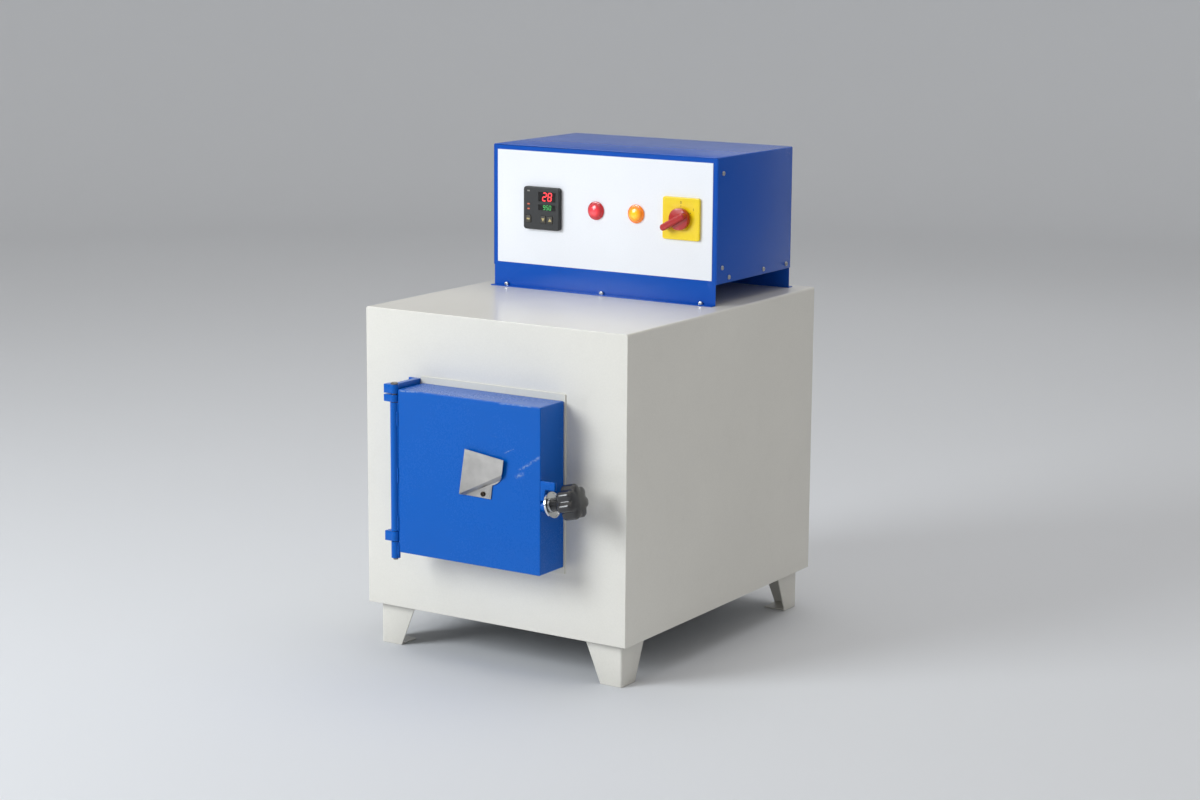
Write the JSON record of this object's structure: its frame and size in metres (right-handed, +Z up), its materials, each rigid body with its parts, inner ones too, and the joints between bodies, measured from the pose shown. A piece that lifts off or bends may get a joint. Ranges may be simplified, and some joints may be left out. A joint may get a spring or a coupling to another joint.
{
  "type": "electric muffle furnace",
  "caption": "Floor or bench box furnace with a side-hinged clamped door, a swinging sight cover, a lined heated chamber and a raised control box.",
  "frame": {"origin": "centre of the whole furnace's box seen from above, on the floor under the feet", "axes": "+X towards the furnace's right side as one faces the door, +Y from the door to the back, +Z up"},
  "size_m": [0.5, 0.6974, 0.807],
  "materials": {
    "cabinet_cream": "semi-gloss powder coat",
    "seat_cream": "semi-gloss powder coat",
    "door_blue": "glossy enamel",
    "box_blue": "glossy enamel",
    "fascia_white": "smooth satin",
    "plated_steel": "zinc plated",
    "satin_steel": "satin sheet",
    "bright_steel": "bright plated",
    "bare_steel": "machined",
    "grey_paint": "matt primer",
    "white_fibre": "soft matt board",
    "muffle_clay": "fired, matt",
    "tube_ceramic": "fired, smooth",
    "element_alloy": "oxidised strip",
    "knob_black": "moulded, satin",
    "case_black": "moulded, fine texture",
    "display_dark": "tinted window",
    "key_grey": "soft key",
    "lens_red": "clear tinted",
    "lens_amber": "clear tinted",
    "switch_yellow": "moulded",
    "switch_red": "moulded",
    "plastic_grey": "moulded",
    "plastic_white": "moulded",
    "brass_insert": "turned",
    "transformer_steel": "laminated core"
  },
  "bodies": {
    "furnace_body": {"back_panel": "cabinet_cream", "back_panel_screws": "plated_steel", "bottom_panel": "grey_paint", "box_chassis": "box_blue", "box_cover": "box_blue", "cabinet_wrapper": "cabinet_cream", "contactor": "plastic_grey", "control_transformer": "transformer_steel", "controller_case": "case_black", "controller_displays": "display_dark", "cover_screws": "plated_steel", "element_leads": "bare_steel", "fascia": "fascia_white", "foot_back_left": "cabinet_cream", "foot_back_right": "cabinet_cream", "foot_front_left": "cabinet_cream", "foot_front_right": "cabinet_cream", "foot_screws": "plated_steel", "front_panel": "cabinet_cream", "heating_element": "element_alloy", "hinge_brackets": "door_blue", "hinge_pin": "bare_steel", "keeper": "cabinet_cream", "lamp_amber_lens": "lens_amber", "lamp_bodies": "plastic_grey", "lamp_red_lens": "lens_red", "lead_bushings": "tube_ceramic", "lining_floor": "white_fibre", "lining_left": "white_fibre", "lining_rear": "white_fibre", "lining_right": "white_fibre", "lining_roof": "white_fibre", "mains_gland": "plastic_grey", "mouth_block": "white_fibre", "muffle": "muffle_clay", "seat_frame": "seat_cream", "skirt_screws": "plated_steel", "switch_box": "plastic_grey", "switch_face": "switch_yellow", "terminal_strip": "plastic_white", "thermocouple_head": "bare_steel", "thermocouple_sheath": "tube_ceramic"},
    "door": {"door_shell": "door_blue", "door_lining": "white_fibre", "peephole_tube": "tube_ceramic", "barrel_short": "door_blue", "barrel_long": "door_blue", "cover_screw": "plated_steel", "clamp_boss": "door_blue", "clamp_stud": "plated_steel", "pull_tab": "door_blue"},
    "sight_cover": {"peephole_cover": "satin_steel"},
    "clamp_washer": {"cup_washer": "bright_steel"},
    "clamp_knob": {"knob": "knob_black", "knob_insert": "brass_insert"},
    "main_switch": {"switch_handle": "switch_red"},
    "button_1": {"key_1": "key_grey"},
    "button_2": {"key_2": "key_grey"},
    "button_3": {"key_3": "key_grey"}
  },
  "joints": [
    {"name": "door_hinge", "type": "hinge", "parent": "furnace_body", "child": "door", "pos_m": [-0.144, -0.3267, 0.3175], "axis": [0, 0, -1], "range_deg": [0, 105]},
    {"name": "clamp_travel", "type": "slide", "parent": "door", "child": "clamp_washer", "axis": [0.9703, 0, 0.2419], "range_m": [0, 0.003]},
    {"name": "clamp_turn", "type": "hinge", "parent": "clamp_washer", "child": "clamp_knob", "pos_m": [0.1525, -0.3207, 0.29871], "axis": [-0.9703, 0, -0.2419], "range_deg": [0, 720.5]},
    {"name": "sight_cover_swing", "type": "hinge", "parent": "door", "child": "sight_cover", "pos_m": [0.03, -0.3287, 0.302], "axis": [0, 1, 0], "range_deg": [0, 100]},
    {"name": "main_switch_turn", "type": "hinge", "parent": "furnace_body", "child": "main_switch", "pos_m": [0.1545, 0.0543, 0.7045], "axis": [0, 1, 0], "range_deg": [-60, 30]},
    {"name": "button_1_press", "type": "slide", "parent": "furnace_body", "child": "button_1", "axis": [0, 1, 0], "range_m": [0, 0.001], "stiffness_N_per_m": 600, "springref_m": -0.0005},
    {"name": "button_2_press", "type": "slide", "parent": "furnace_body", "child": "button_2", "axis": [0, 1, 0], "range_m": [0, 0.001], "stiffness_N_per_m": 600, "springref_m": -0.0005},
    {"name": "button_3_press", "type": "slide", "parent": "furnace_body", "child": "button_3", "axis": [0, 1, 0], "range_m": [0, 0.001], "stiffness_N_per_m": 600, "springref_m": -0.0005}
  ],
  "couplings": [
    {"joint": "clamp_turn", "follows": "clamp_travel", "rad_per_m": 4188.8}
  ]
}
